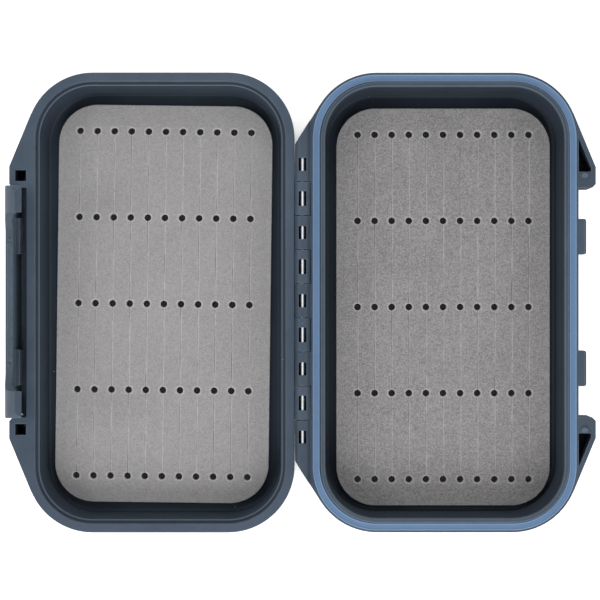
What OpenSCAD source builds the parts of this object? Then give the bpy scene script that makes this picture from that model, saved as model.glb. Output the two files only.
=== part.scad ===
// Waterproof fly box, opened flat: two moulded halves on a pinned hinge, with a wide latch,
// a seal and two slit pads. X runs across the halves from the hinge pin, Y along the pin, and
// Z up from the surface that the box lies on. The base is on +X and the lid on -X.

/* [Case] */
// Length of each half, along the hinge
case_l = 180; // [150:1:220]
// Width of each half, from its hinge side to its latch side
case_w = 105; // [86:1:130]
// Depth of each half, from its outer face to the closing plane
half_h = 23; // [19:0.5:30]
// Corner radius of the rim's outline
corner_r = 26; // [21:0.5:32]

/* [Shell] */
// Width of the base's rim, from its outer face to the cavity
base_rim_w = 5.7; // [4.8:0.1:7]
// Width of the lid's rim
lid_rim_w = 5.1; // [4.7:0.1:7]
// Height of the rim's flange
flange_h = 5.5; // [4:0.1:7]
// How far the flange stands out from the wall below it
flange_out = 3.2; // [2:0.1:3.4]
// How far walls draw in between the flange and the floor
draft = 0.8; // [0.3:0.1:1.5]
// Thickness of the floor
floor_t = 2; // [1.5:0.1:3]
// Radius of the outer bottom edge
edge_r = 5; // [3:0.5:6]
// Radius where the cavity's wall meets its floor
floor_r = 1.5; // [1:0.1:1.7]
// Radius that breaks the rim's edges
break_r = 0.4; // [0.2:0.05:0.6]

/* [Seal] */
// Thickness of the thin wall outside the seal
seal_wall = 0.8; // [0.6:0.1:1.2]
// How far the thin wall stays below the closing plane
wall_drop = 0.5; // [0.2:0.1:1]
// Width of the seal
seal_w = 2.9; // [2:0.1:3.2]
// Side play of the seal in its groove, all on the tongue's side
seal_play = 0.2; // [0.1:0.05:0.4]
// Depth of the seal's groove
groove_h = 2.4; // [1.8:0.1:3.5]
// How far the seal stays below the closing plane
seal_drop = 0.1; // [0.05:0.05:0.3]
// Width of each lip along the seal's edges
lip_w = 0.5; // [0.3:0.1:0.8]
// Height of the lips above the seal's middle
lip_h = 0.25; // [0.1:0.05:0.5]
// Height of the base's tongue above the closing plane
tongue_h = 1; // [0.6:0.1:1.6]
// Clearance round the tongue in the lid's rebate
tongue_gap = 0.2; // [0.1:0.05:0.4]

/* [Hinge] */
// Diameter of the knuckles
barrel_d = 5.9; // [5:0.1:8]
// Gap between a knuckle and the other half's side
hinge_gap = 0.15; // [0.1:0.05:0.4]
// Number of knuckles
knuckles = 9; // [5:2:11]
// Distance from the end of the case to the row of knuckles
hinge_margin = 30.2; // [27:0.1:36]
// Shift of the knuckles along the pin
hinge_shift = 0.7; // [0:0.1:1]
// Gap between neighbouring knuckles
knuckle_gap = 0.3; // [0.1:0.05:0.4]
// Angle between the cut ends of the hinge and its pin
cut_angle = 32; // [28:1:36]
// Diameter of the hinge pin
pin_d = 2; // [1.6:0.1:2.5]
// Radial clearance of the hinge pin
pin_play = 0.05; // [0.02:0.01:0.1]
// How far the pin's ends stay inside the cut ends of the hinge
pin_short = 3; // [1:0.5:6]
// Width of the window in each knuckle
window_w = 3.05; // [2.5:0.05:3.5]
// Length of the windows in the base's knuckles
base_window_l = 5.1; // [4:0.1:6]
// Length of the windows in the lid's knuckles
lid_window_l = 5.8; // [4:0.1:6]
// Depth of the windows below the pin's axis
window_drop = 1.3; // [1:0.1:1.6]

/* [Latch bay] */
// Distance from the end of the case to the latch's bay
bay_margin = 45; // [42:0.5:50]
// How far the lid's guards stand out from its side
lid_guard_out = 6.6; // [6:0.1:8]
// How far the base's guards stand out from its side
base_guard_out = 6.7; // [6:0.1:8]
// Angle between the guards' slanted faces and the case's side
guard_angle = 22.5; // [20:0.5:26]
// Height of the undersides of the lid's guards above its outer face
lid_guard_z = 3.5; // [2:0.5:6]
// Height of the undersides of the base's guards above its outer face
base_guard_z = 7.5; // [2:0.5:9]
// Bevel on the guards' outer corners, beside the latch
guard_bevel = 1.3; // [0.8:0.1:2]
// How far the base's guards stay below the closing plane
guard_drop = 0.6; // [0.5:0.1:1]
// Thickness of the slanted wall round the base guards' pockets
pocket_wall = 1.8; // [1.4:0.1:2.2]
// Thickness of the end plate between the pockets and the latch's bay
end_plate = 6.2; // [5:0.1:7]
// Thickness of the floor under the pockets
pocket_floor = 2.5; // [2:0.1:4]
// Side of the square windows in the lid's guards
guard_window = 4.3; // [3.6:0.1:5]
// Thickness between those windows and the latch's bay
guard_wall = 2.5; // [2:0.1:3.5]
// Length and width of the boss on each base guard, which enters the lid's window
boss = [3.1, 2.1]; // [1.6:0.1:3.2]
// Height of that boss
boss_h = 1.1; // [0.4:0.1:2]
// Distance from the base's side to the middle of the boss
boss_side = 2.3; // [2:0.1:2.6]
// Distance from the latch's bay to the middle of the boss
boss_end = 4.8; // [4.2:0.1:5.4]
// How far the catches stand out from the base's side
catch_out = 3.1; // [2.4:0.1:3.2]
// Length of each catch
catch_l = 13.9; // [10:0.1:16]
// Distance from the end of the latch's bay to the middle of a catch
catch_in = 19.2; // [18:0.1:22]
// Radius on the catches' corners
catch_r = 0.9; // [0.5:0.1:1.2]
// Lead-in chamfer along each catch
catch_lead = 1; // [0.5:0.1:1.4]

/* [Latch] */
// Distance from the lid's side to the latch's pin
pivot_out = 2.6; // [2.5:0.1:3]
// Height of the latch's pin above the lid's outer face
pivot_z = 10; // [8:0.5:12]
// Diameter of the latch's barrel
latch_barrel_d = 4.4; // [4:0.1:4.8]
// Diameter of the latch's pin
latch_pin_d = 2; // [1.6:0.1:2.2]
// Radial clearance of the pin in the latch
latch_pin_play = 0.06; // [0.03:0.01:0.1]
// Angle at which the unlatched latch stands off its closed position
ajar = 4; // [3:0.5:6]
// Play between each end of the latch and its guard
latch_play = 0.5; // [0.4:0.05:0.8]
// Where the latch sits along its pin, within that play
latch_shift = 0.3; // [-0.3:0.05:0.3]
// Distance from the latch's pin to the plate's outer face
plate_out = 2.45; // [2.3:0.05:2.6]
// Thickness of the latch's plate
plate_t = 1.7; // [1.4:0.1:1.7]
// Thickness of the grip bar along the middle of the latch
bar_h = 3.2; // [2.4:0.1:4]
// Gap between the hooking edge and the catches, along the closing direction
hook_gap = 0.3; // [0.2:0.05:0.5]
// Radius on the grip bar's outer edge
bar_r = 0.8; // [0.5:0.1:1]
// Clearance between the unlatched latch and all that it swings past
swing_gap = 0.2; // [0.1:0.05:0.4]
// Height above the hooking edge at which the ears begin to bend in
ear_bend = 2.2; // [1:0.1:3]
// How much lower the inside of the ears begins to bend than the outside
ear_root = 3; // [2:0.1:4]
// Length of each ear along the latch
ear_l = 10.4; // [9:0.1:12]
// How far the top of the ears stays below the base's outer face when shut
ear_short = 3.3; // [2:0.1:5]
// Run and rise of the ears' broad free edge
ear_edge = [2.3, 2.3]; // [1.6:0.1:3]
// Radius of the ears' outer corners
ear_r = 4.5; // [3:0.1:6]
// Radius of the scoops between the ears and the bar
scoop_r = 7.4; // [5:0.1:9]
// Width of the raised strip on the bar
strip_w = 1.7; // [1:0.1:2]
// Height of the raised strip on the bar
strip_h = 0.4; // [0.2:0.1:0.6]
// Distance between each end of the strip and the ear
strip_in = 11.5; // [10:0.1:14]
// Diameter of the round mark past each end of the strip
mark_d = 1.6; // [1:0.1:2]
// Thickness of the ribs behind the plate, in line with the catches
rib_t = 1.7; // [1.5:0.1:2.6]
// Height of those ribs
rib_h = 8.6; // [6:0.1:9]
// How far their tops stay below the closing plane
rib_drop = 0.6; // [0.5:0.1:1]

/* [Pads] */
// Gap between the pads' long sides and the base's cavity
pad_side_gap = 3.25; // [3:0.05:5]
// Gap between the pads' ends and the base's cavity
pad_end_gap = 4; // [3.8:0.05:6]
// Thickness of the pads
pad_t = 5; // [3:0.5:8]
// How much tighter the pads' corners are than the base's cavity
pad_corner_step = 4; // [3.8:0.1:4.5]
// Thickness of the film that bonds each pad
film_t = 0.2; // [0.1:0.05:0.4]
// Columns of holes
hole_cols = 11; // [7:2:13]
// Rows of holes
hole_rows = 5; // [3:1:6]
// Diameter of the holes
hole_d = 2.4; // [1.8:0.1:3]
// Distance from the pads' long sides to the outer columns
hole_side = 8.5; // [7:0.1:10]
// Distance from the pads' ends to the outer rows
hole_end = 10.5; // [9:0.1:13]
// Width of the slits that join the holes
slit_w = 0.3; // [0.2:0.05:0.5]
// How far off the cavity's middle the base's pad was laid, across the case
base_pad_x = 0.7; // [-1:0.1:1]
// The same along the case
base_pad_y = -1.8; // [-2:0.1:2]
// How far off the cavity's middle the lid's pad was laid, across the case
lid_pad_x = 0.1; // [-1:0.1:1]
// The same along the case
lid_pad_y = -0.6; // [-1:0.1:1]
// Turn of the lid's pad as it was laid
lid_pad_turn = -0.7; // [-0.8:0.1:0.8]

/* [Hidden] */
$fn = 64;
eps = 0.01;

shell_colour = "#3c4857";
latch_colour = "#46515f";
seal_colour = "#6883a3";
foam_colour = "#8f8f90";
film_colour = "#2a2b2e";
steel_colour = "#b9bcc0";

// Hinge side and latch side of each half, from the pin's axis
side_x = barrel_d / 2 + hinge_gap;
far_x = side_x + case_w;
mid_x = side_x + case_w / 2;
// Block between the four corner centres
core_w = case_w - 2 * corner_r;
core_l = case_l - 2 * corner_r;
// Rings of the rim, as distances from the corner centres
base_cavity_x = corner_r - base_rim_w;
lid_cavity_x = corner_r - lid_rim_w;
groove_x = corner_r - seal_wall - seal_w - seal_play;
wall_x = corner_r - flange_out;
wall_z = half_h - flange_h;
// Higher than all that is cut open at the top
above_z = half_h + 3 * tongue_h;

pitch = (case_l - 2 * hinge_margin) / knuckles;
last_knuckle = (knuckles - 1) / 2;
// Where the cut ends of the hinge touch the corner, and where they cross the pin
cut_touch = [side_x + corner_r * (1 - cos(cut_angle)), core_l / 2 + corner_r * sin(cut_angle)];
cut_y = cut_touch.y - cut_touch.x / tan(cut_angle);

bay_l = case_l - 2 * bay_margin;
catch_y = bay_l / 2 - catch_in;
guard_touch = [
    far_x - corner_r * (1 - cos(guard_angle)),
    core_l / 2 + corner_r * sin(guard_angle)
];

pivot_x = far_x + pivot_out;
// Half the length of the latch's pin, which ends under the windows in the lid's guards
pin_reach = bay_l / 2 + guard_wall + guard_window / 2;
latch_l = bay_l - 2 * latch_play;
ear_in = latch_l / 2 - ear_l;
// Heights on the latch are measured from its pin
plane_h = half_h - pivot_z;
hook_h = plane_h + flange_h + hook_gap;
bar_top = hook_h + bar_h;
bend_h = hook_h + ear_bend;
ear_top = plane_h + half_h - ear_short;
// The scoops stay well below the top of the ears, so that they pass the catches
scoop = min(scoop_r, 0.7 * (ear_top - bar_top));
// A point given where the unlatched latch stands, as the shut latch has it
function shut(p) = [
    p.x * cos(ajar) - p.y * sin(ajar),
    p.y * cos(ajar) + p.x * sin(ajar)
];
// How far from its pin a point of the unlatched latch must stay, at height h, to pass the base's edge
function past(edge_x, h) =
    sqrt(pow(norm([edge_x, flange_h]) + swing_gap, 2) - pow(h - plane_h, 2)) - pivot_x;
ear_tip = shut([past(far_x, ear_top - ear_edge.y), ear_top - ear_edge.y]);
ear_crest = ear_tip + ear_edge;
hook_x = shut([past(far_x + catch_out, hook_h), hook_h]).x;

pad_w = case_w - 2 * (base_rim_w + draft + pad_side_gap);
pad_l = case_l - 2 * (base_rim_w + draft + pad_end_gap);
pad_r = base_cavity_x - draft - pad_corner_step;
hole_pitch = [
    (pad_w - 2 * hole_side) / (hole_cols - 1),
    (pad_l - 2 * hole_end) / (hole_rows - 1)
];

// Points along an arc about a centre
function arc(centre, r, from, to, steps = 6) = [
    for (i = [0:steps])
        let (a = from + (to - from) * i / steps)
            centre + r * [cos(a), sin(a)]
];

// Points along the arc that leaves p in the direction a and ends at q
function bend(p, q, a, steps = 10) =
    let (
        chord = q - p,
        turn = 2 * (atan2(chord.y, chord.x) - a),
        r = norm(chord) / (2 * sin(turn / 2)),
        centre = p + r * [-sin(a), cos(a)]
    )
    arc(centre, r, a - 90, a - 90 + turn, steps);

// A profile carried round the outline of a half: x is measured from the corner centres, y is height
module round_outline() {
    translate([mid_x, 0, 0]) {
        for (turn = [0:90:270])
            translate([
                (turn < 90 || turn > 180 ? 1 : -1) * core_w / 2,
                (turn < 180 ? 1 : -1) * core_l / 2,
                0
            ])
                rotate([0, 0, turn])
                    rotate_extrude(angle = 90) children();
        for (turn = [0, 180])
            rotate([0, 0, turn])
                translate([core_w / 2, 0, 0])
                    rotate([90, 0, 0])
                        linear_extrude(core_l, center = true) children();
        for (turn = [90, 270])
            rotate([0, 0, turn])
                translate([core_l / 2, 0, 0])
                    rotate([90, 0, 0])
                        linear_extrude(core_w, center = true) children();
    }
}

// The same, filled in between the corner centres from one height to another
module filled_outline(low, high) {
    round_outline() children();
    translate([mid_x - core_w / 2, -core_l / 2, low])
        cube([core_w, core_l, high - low]);
}

// Outline of a rounded rectangle, corner by corner
function rounded(w, l, r, steps = 12) = [
    for (turn = [0:90:270])
        each arc(
            [
                (turn < 90 || turn > 180 ? 1 : -1) * (w / 2 - r),
                (turn < 180 ? 1 : -1) * (l / 2 - r)
            ],
            r, turn, turn + 90, steps
        )
];

// Outside of a half, from the middle of its underside round to the given top
function shell_profile(rim_z, top_z, top_x) =
    let (lean = atan(draft / wall_z))
    concat(
        [[0, 0]],
        arc(
            [wall_x - draft * (1 - edge_r / wall_z) - edge_r / cos(lean), edge_r],
            edge_r, -90, -lean, 8
        ),
        [[wall_x, wall_z]],
        arc([corner_r - break_r, wall_z + break_r], break_r, -90, 0, 3),
        arc([corner_r - break_r, rim_z - break_r], break_r, 0, 90, 3),
        [[top_x, rim_z], [top_x, top_z], [0, top_z]]
    );

// Inside of a half, from its floor up to the rim and out to the given edge
function cavity_profile(cavity_x, rim_z, steps_out) =
    let (lean = atan(draft / (half_h - floor_t)))
    concat(
        [[0, floor_t]],
        arc(
            [
                cavity_x - draft * (1 - floor_r / (half_h - floor_t)) - floor_r / cos(lean),
                floor_t + floor_r
            ],
            floor_r, -90, -lean, 4
        ),
        [[cavity_x, rim_z - break_r], [cavity_x + break_r, rim_z]],
        steps_out,
        [[0, above_z]]
    );

module base_cavity() {
    top_z = half_h + tongue_h;
    filled_outline(floor_t, above_z)
        polygon(cavity_profile(base_cavity_x, top_z, [[base_cavity_x + break_r, above_z]]));
}

module lid_cavity() {
    rebate_z = half_h - tongue_h - tongue_gap;
    rebate_x = groove_x + tongue_gap;
    filled_outline(floor_t, above_z)
        polygon(cavity_profile(lid_cavity_x, rebate_z, concat(
            [[rebate_x, rebate_z], [rebate_x, half_h - break_r]],
            [[rebate_x + break_r, half_h], [rebate_x + break_r, above_z]]
        )));
}

// Groove for the seal, with the tongue's outer edge broken
module seal_groove() {
    top_z = half_h + tongue_h;
    round_outline()
        polygon([
            [groove_x, half_h - groove_h],
            [corner_r - seal_wall, half_h - groove_h],
            [corner_r - seal_wall, top_z + eps],
            [groove_x - break_r, top_z + eps],
            [groove_x - break_r, top_z],
            [groove_x, top_z - break_r]
        ]);
}

// Barrel and web of one knuckle, on the +X side of the pin
module knuckle(y, length, web_x) {
    web_low = 0.44 * barrel_d;
    translate([0, y, half_h])
        rotate([90, 0, 0])
            linear_extrude(length, center = true) {
                circle(d = barrel_d);
                translate([0, -web_low])
                    square([web_x, web_low - wall_drop]);
            }
}

module knuckle_window(y, length) {
    translate([-window_w / 2, y - length / 2, half_h - window_drop])
        cube([window_w, length, barrel_d]);
}

function knuckle_y(i) = hinge_shift + i * pitch;

// Plan of the cut that ends the hinge at +Y or -Y
module cut_end_plan() {
    beyond = barrel_d;
    polygon([
        [-beyond, 0],
        [corner_r, 0],
        [corner_r, cut_touch.y],
        cut_touch,
        [-beyond, cut_y - beyond / tan(cut_angle)]
    ]);
}

// Last knuckle at +Y or -Y, carried on to the corner and cut on the slant
module end_knuckle(side) {
    start_y = last_knuckle * pitch - pitch / 2 + side * hinge_shift + knuckle_gap / 2;
    web_x = side_x + cut_touch.x;
    mirror([0, side < 0 ? 1 : 0, 0])
        intersection() {
            knuckle((start_y + cut_touch.y) / 2, cut_touch.y - start_y, web_x);
            linear_extrude(half_h + barrel_d) cut_end_plan();
        }
}

module pin_bore() {
    translate([0, 0, half_h])
        rotate([90, 0, 0])
            cylinder(d = pin_d + 2 * pin_play, h = case_l, center = true);
}

// Plan of a guard at +Y: slanted off the corner, square beside the latch's bay
function guard_plan(out) =
    let (
        outer_x = far_x + out,
        knee_y = guard_touch.y - (outer_x - guard_touch.x) / tan(guard_angle)
    )
    [
        [far_x - 2 * base_rim_w, bay_l / 2],
        [outer_x - guard_bevel, bay_l / 2],
        [outer_x, bay_l / 2 + guard_bevel],
        [outer_x, knee_y],
        guard_touch,
        [far_x - 2 * base_rim_w, guard_touch.y]
    ];

module both_ends() {
    for (side = [0, 1])
        mirror([0, side, 0]) children();
}

module guards(out, low_z, top_z) {
    both_ends()
        translate([0, 0, low_z])
            linear_extrude(top_z - low_z)
                polygon(guard_plan(out));
}

// Pockets that core out the base's guards, open at the top
module guard_pockets() {
    outer_x = far_x + base_guard_out - pocket_wall;
    // Where the pocket's slanted side crosses a given x
    function slant_y(x) =
        guard_touch.y - (x - guard_touch.x + pocket_wall / cos(guard_angle)) / tan(guard_angle);
    both_ends()
        translate([0, 0, base_guard_z + pocket_floor])
            linear_extrude(half_h)
                polygon([
                    [far_x, bay_l / 2 + end_plate],
                    [outer_x, bay_l / 2 + end_plate],
                    [outer_x, slant_y(outer_x)],
                    [far_x, slant_y(far_x)]
                ]);
}

module guard_bosses() {
    both_ends()
        translate([far_x + boss_side, bay_l / 2 + boss_end, half_h - guard_drop])
            scale([boss.x / boss.y, 1, 1])
                cylinder(d1 = boss.y, d2 = 0.8 * boss.y, h = boss_h);
}

// Catches that the latch hooks behind, one towards each end of the bay
module catches() {
    outer_x = far_x + catch_out;
    width = catch_out + flange_out;
    lead_side = catch_lead * sqrt(2);
    for (y = [-catch_y, catch_y])
        difference() {
            translate([outer_x - width / 2, y, wall_z])
                linear_extrude(flange_h - wall_drop)
                    polygon(rounded(width, catch_l, catch_r, 4));
            translate([outer_x, y, half_h - wall_drop])
                rotate([0, 45, 0])
                    cube([lead_side, catch_l + 1, lead_side], center = true);
        }
}

module base_shell() {
    color(shell_colour)
        difference() {
            union() {
                filled_outline(0, half_h + tongue_h)
                    polygon(shell_profile(half_h - wall_drop, half_h + tongue_h, groove_x + seal_play));
                for (i = [-last_knuckle + 2:2:last_knuckle - 2])
                    knuckle(knuckle_y(i), pitch - knuckle_gap, side_x + seal_wall / 2);
                end_knuckle(1);
                end_knuckle(-1);
                guards(base_guard_out, base_guard_z, half_h - guard_drop);
                guard_bosses();
                catches();
            }
            base_cavity();
            seal_groove();
            pin_bore();
            for (i = [-last_knuckle:2:last_knuckle])
                knuckle_window(knuckle_y(i), base_window_l);
            guard_pockets();
        }
}

// Square windows down to the latch's pin
module guard_windows() {
    both_ends()
        translate([far_x, bay_l / 2 + guard_wall, pivot_z - latch_pin_d])
            cube([guard_window, guard_window, half_h]);
}

module lid_shell() {
    color(shell_colour)
        mirror([1, 0, 0])
            difference() {
                union() {
                    filled_outline(0, half_h)
                        polygon(shell_profile(half_h, half_h, 0));
                    for (i = [-last_knuckle + 1:2:last_knuckle - 1])
                        knuckle(knuckle_y(i), pitch - knuckle_gap, side_x + break_r + seal_wall);
                    guards(lid_guard_out, lid_guard_z, half_h);
                }
                lid_cavity();
                pin_bore();
                for (i = [-last_knuckle + 1:2:last_knuckle - 1])
                    knuckle_window(knuckle_y(i), lid_window_l);
                guard_windows();
                latch_pin_bore();
            }
}

// Bore for the latch's pin, in from the +Y guard and blind in the other one
module latch_pin_bore() {
    translate([pivot_x, -pin_reach, pivot_z])
        rotate([-90, 0, 0])
            cylinder(d = latch_pin_d + latch_pin_play / 2, h = pin_reach + case_l / 2);
}

module seal() {
    inner_x = corner_r - seal_wall - seal_w;
    outer_x = corner_r - seal_wall - eps;
    low_z = half_h - groove_h;
    top_z = half_h - seal_drop;
    foot_w = lip_w + 0.8 * lip_h;
    color(seal_colour)
        round_outline()
            polygon([
                [inner_x, low_z],
                [outer_x, low_z],
                [outer_x, top_z],
                [outer_x - lip_w, top_z],
                [outer_x - foot_w, top_z - lip_h],
                [inner_x + foot_w, top_z - lip_h],
                [inner_x + lip_w, top_z],
                [inner_x, top_z]
            ]);
}

// Plan of a pad: rows and columns of holes, joined along the columns by slits
module pad_plan(slit = true) {
    difference() {
        polygon(rounded(pad_w, pad_l, pad_r));
        for (i = [0:hole_cols - 1])
            translate([(i - (hole_cols - 1) / 2) * hole_pitch.x, 0]) {
                for (j = [0:hole_rows - 1])
                    translate([0, (j - (hole_rows - 1) / 2) * hole_pitch.y])
                        circle(d = hole_d, $fn = 24);
                if (slit)
                    square([slit_w, (hole_rows - 1) * hole_pitch.y], center = true);
            }
    }
}

module base_pad() {
    color(foam_colour)
        translate([mid_x + base_pad_x, base_pad_y, floor_t + film_t])
            linear_extrude(pad_t) pad_plan();
}

module base_pad_film() {
    color(film_colour)
        translate([mid_x + base_pad_x, base_pad_y, floor_t])
            linear_extrude(film_t) pad_plan(slit = false);
}

module lid_pad() {
    color(foam_colour)
        translate([-mid_x + lid_pad_x, lid_pad_y, floor_t + film_t])
            rotate([0, 0, lid_pad_turn])
                linear_extrude(pad_t) pad_plan();
}

module lid_pad_film() {
    color(film_colour)
        translate([-mid_x + lid_pad_x, lid_pad_y, floor_t])
            rotate([0, 0, lid_pad_turn])
                linear_extrude(film_t) pad_plan(slit = false);
}

module hinge_pin() {
    color(steel_colour)
        translate([0, 0, half_h])
            rotate([90, 0, 0])
                cylinder(d = pin_d, h = 2 * (cut_y - pin_short), center = true);
}

module latch_pin() {
    color(steel_colour)
        translate([-pivot_x, 0, pivot_z])
            rotate([90, 0, 0])
                cylinder(d = latch_pin_d, h = 2 * (pin_reach - latch_pin_play), center = true);
}

// Section of the latch along its middle: plate, and the grip bar whose underside hooks the catches
function bar_section() = concat(
    plate_foot(),
    arc([plate_out - bar_r, bar_top - bar_r], bar_r, 0, 90, 4),
    arc([hook_x + break_r, bar_top - break_r], break_r, 90, 180, 3),
    [
        [hook_x, hook_h],
        [plate_out - plate_t, hook_h],
        [plate_out - plate_t, 0]
    ]
);

// Section through an ear: the plate bends over and ends in a broad free edge
function ear_section() =
    let (
        inner_x = plate_out - plate_t,
        inner = bend([inner_x, bend_h - ear_root], ear_tip, 90)
    )
    concat(
        plate_foot(),
        bend([plate_out, bend_h], ear_crest, 90),
        [for (i = [len(inner) - 1:-1:0]) inner[i]],
        [[inner_x, 0]]
    );

// Foot of the plate, wrapped round the outside of the barrel
function plate_foot() = arc([0, 0], plate_out, -60, 0, 4);

// Front outline of the latch about its middle: an ear at each end, scooped down to the bar
module front_outline() {
    difference() {
        polygon([
            [-latch_l / 2, -latch_barrel_d],
            [latch_l / 2, -latch_barrel_d],
            each arc([latch_l / 2 - ear_r, ear_top - ear_r], ear_r, 0, 90, 8),
            each arc([-latch_l / 2 + ear_r, ear_top - ear_r], ear_r, 90, 180, 8)
        ]);
        polygon([
            [ear_in, ear_top + 1],
            each arc([ear_in - scoop, bar_top + scoop], scoop, 0, -90, 8),
            each arc([-ear_in + scoop, bar_top + scoop], scoop, -90, -180, 8),
            [-ear_in, ear_top + 1]
        ]);
    }
}

module along_y(length) {
    rotate([90, 0, 0])
        linear_extrude(length, center = true) children();
}

module latch_solid() {
    strip_y = ear_in - strip_in;
    difference() {
        union() {
            along_y(latch_l) circle(d = latch_barrel_d);
            along_y(2 * ear_in) polygon(bar_section());
            intersection() {
                along_y(latch_l) polygon(ear_section());
                translate([-case_w / 2, 0, 0])
                    rotate([90, 0, 90])
                        linear_extrude(case_w) front_outline();
            }
            latch_ribs();
            // Raised strip on the bar, and a round mark past each of its ends
            translate([plate_out - bar_r - strip_w, -strip_y, bar_top - bar_r])
                cube([strip_w, 2 * strip_y, bar_r + strip_h]);
            for (side = [-1, 1])
                translate([
                    plate_out - bar_r - strip_w / 2,
                    side * (strip_y + mark_d),
                    bar_top - mark_d / 8
                ])
                    sphere(d = mark_d);
        }
        along_y(2 * latch_l) circle(d = latch_pin_d + 2 * latch_pin_play);
    }
}

// Ribs behind the plate, tapered at the foot, that stand in line with the catches
module latch_ribs() {
    root_x = plate_out - plate_t / 2;
    face_x = plate_out - plate_t - rib_t;
    head_h = plane_h - rib_drop;
    for (y = [-catch_y, catch_y])
        translate([0, y, 0])
            along_y(catch_l)
                polygon([
                    [root_x, head_h - rib_h],
                    [root_x, head_h],
                    [face_x, head_h],
                    [face_x, head_h - rib_h + root_x - face_x]
                ]);
}

module latch() {
    color(latch_colour)
        mirror([1, 0, 0])
            translate([pivot_x, latch_shift, pivot_z])
                rotate([0, ajar, 0])
                    latch_solid();
}

base_shell();
seal();
base_pad();
base_pad_film();
hinge_pin();
lid_shell();
lid_pad();
lid_pad_film();
latch_pin();
latch();
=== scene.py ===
import math

import bmesh
import bpy
from mathutils import Matrix, Vector


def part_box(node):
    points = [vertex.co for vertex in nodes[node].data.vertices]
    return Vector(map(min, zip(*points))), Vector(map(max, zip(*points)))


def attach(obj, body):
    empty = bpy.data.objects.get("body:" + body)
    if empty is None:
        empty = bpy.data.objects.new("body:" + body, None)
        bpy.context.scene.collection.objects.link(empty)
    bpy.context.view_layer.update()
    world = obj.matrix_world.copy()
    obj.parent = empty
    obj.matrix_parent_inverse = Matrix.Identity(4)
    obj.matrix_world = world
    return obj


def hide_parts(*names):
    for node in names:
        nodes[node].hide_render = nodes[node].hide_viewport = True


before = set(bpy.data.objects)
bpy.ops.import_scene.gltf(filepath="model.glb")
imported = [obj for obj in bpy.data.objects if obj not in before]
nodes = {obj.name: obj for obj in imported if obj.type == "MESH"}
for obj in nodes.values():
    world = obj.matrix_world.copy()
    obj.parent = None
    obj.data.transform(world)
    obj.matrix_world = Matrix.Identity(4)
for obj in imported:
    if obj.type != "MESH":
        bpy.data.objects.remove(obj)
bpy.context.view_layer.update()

mm = 0.001
scene = bpy.context.scene
print("frame loaded:", ", ".join(sorted(nodes)))


photoView = dict(
    height=688 * mm,        # straight above the table
    middle=(-0.98 * mm, 0.98 * mm),
    lens=102.05,
    clipStart=50 * mm,
)
studio = dict(
    paper=0.86,             # the table's own whiteness
    paperRoughness=0.9,
    paperGlow=0.78,         # what the camera sees on top of it, 1 is white
    paperHalf=2.0,          # metres
    paperDrop=0.1 * mm,     # clear of the box's underside
    crevice=(0.10, 0.28),   # the glow fades where so little of the sky reaches the paper
    creviceReach=80 * mm,
    skyStrength=0.61,       # an even light tent round the table
    lamps=[                 # name, place, size, watts
        ("frontLamp", (-0.06, -0.80, 0.70), 0.60, 5.0),
        ("leftLamp", (-0.80, 0.0, 0.65), 0.25, 1.2),
        ("rightLamp", (0.80, 0.0, 0.65), 0.25, 0.6),
        ("backLamp", (0.0, 0.80, 0.65), 0.25, 0.8),
    ],
)
white = (1, 1, 1, 1)


def place(name, data):
    made = bpy.data.objects.new(name, data)
    scene.collection.objects.link(made)
    return made


def makeCamera():
    camera = place("photoCamera", bpy.data.cameras.new("photoCamera"))
    camera.location = (*photoView["middle"], photoView["height"])
    camera.data.lens = photoView["lens"]
    camera.data.clip_start = photoView["clipStart"]
    scene.camera = camera


def makeLamps():
    for name, spot, size, watts in studio["lamps"]:
        lamp = bpy.data.lights.new(name, "AREA")
        lamp.shape = "DISK"
        lamp.size = size
        lamp.energy = watts
        holder = place(name, lamp)
        holder.location = spot
        holder.rotation_euler = (-Vector(spot)).to_track_quat("-Z", "Y").to_euler()


def put(tree, kind, inputs=None, **settings):
    # one node: settings are its own properties, inputs are values or sockets to link from
    made = tree.nodes.new(kind)
    for key, value in settings.items():
        setattr(made, key, value)
    for key, value in (inputs or {}).items():
        if isinstance(value, bpy.types.Node):
            value = value.outputs[0]
        if isinstance(value, bpy.types.NodeSocket):
            tree.links.new(value, made.inputs[key])
        else:
            made.inputs[key].default_value = value
    return made


def maths(tree, operation, *values):
    return put(tree, "ShaderNodeMath", dict(enumerate(values)), operation=operation)


def product(tree, first, *others):
    for other in others:
        first = maths(tree, "MULTIPLY", first, other)
    return first


def near(tree, value, middle, reach):
    # 1 where the value lies within reach of the middle
    return maths(tree, "COMPARE", value, middle, reach)


def spread(tree, value, fromLow, fromHigh, toLow=0.0, toHigh=1.0):
    return put(tree, "ShaderNodeMapRange", {
        "Value": value, "From Min": fromLow, "From Max": fromHigh,
        "To Min": toLow, "To Max": toHigh})


def openness(tree, reach):
    # how much of the sky reaches a point past what lies within reach, 0 to 1
    shade = put(tree, "ShaderNodeAmbientOcclusion", {"Distance": reach}, samples=8)
    return shade.outputs["AO"]


def seenDirectly(tree):
    # 1 where the camera looks, straight or by way of metal or glass
    path = put(tree, "ShaderNodeLightPath").outputs
    seen = maths(tree, "MAXIMUM", path["Is Camera Ray"], path["Is Glossy Ray"])
    return maths(tree, "MAXIMUM", seen, path["Is Transmission Ray"])


def newMaterial(name):
    material = bpy.data.materials.new(name)
    material.use_nodes = True
    material.node_tree.nodes.clear()
    return material, material.node_tree


def surface(tree, inputs):
    shader = put(tree, "ShaderNodeBsdfPrincipled", inputs)
    put(tree, "ShaderNodeOutputMaterial", {"Surface": shader})


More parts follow.
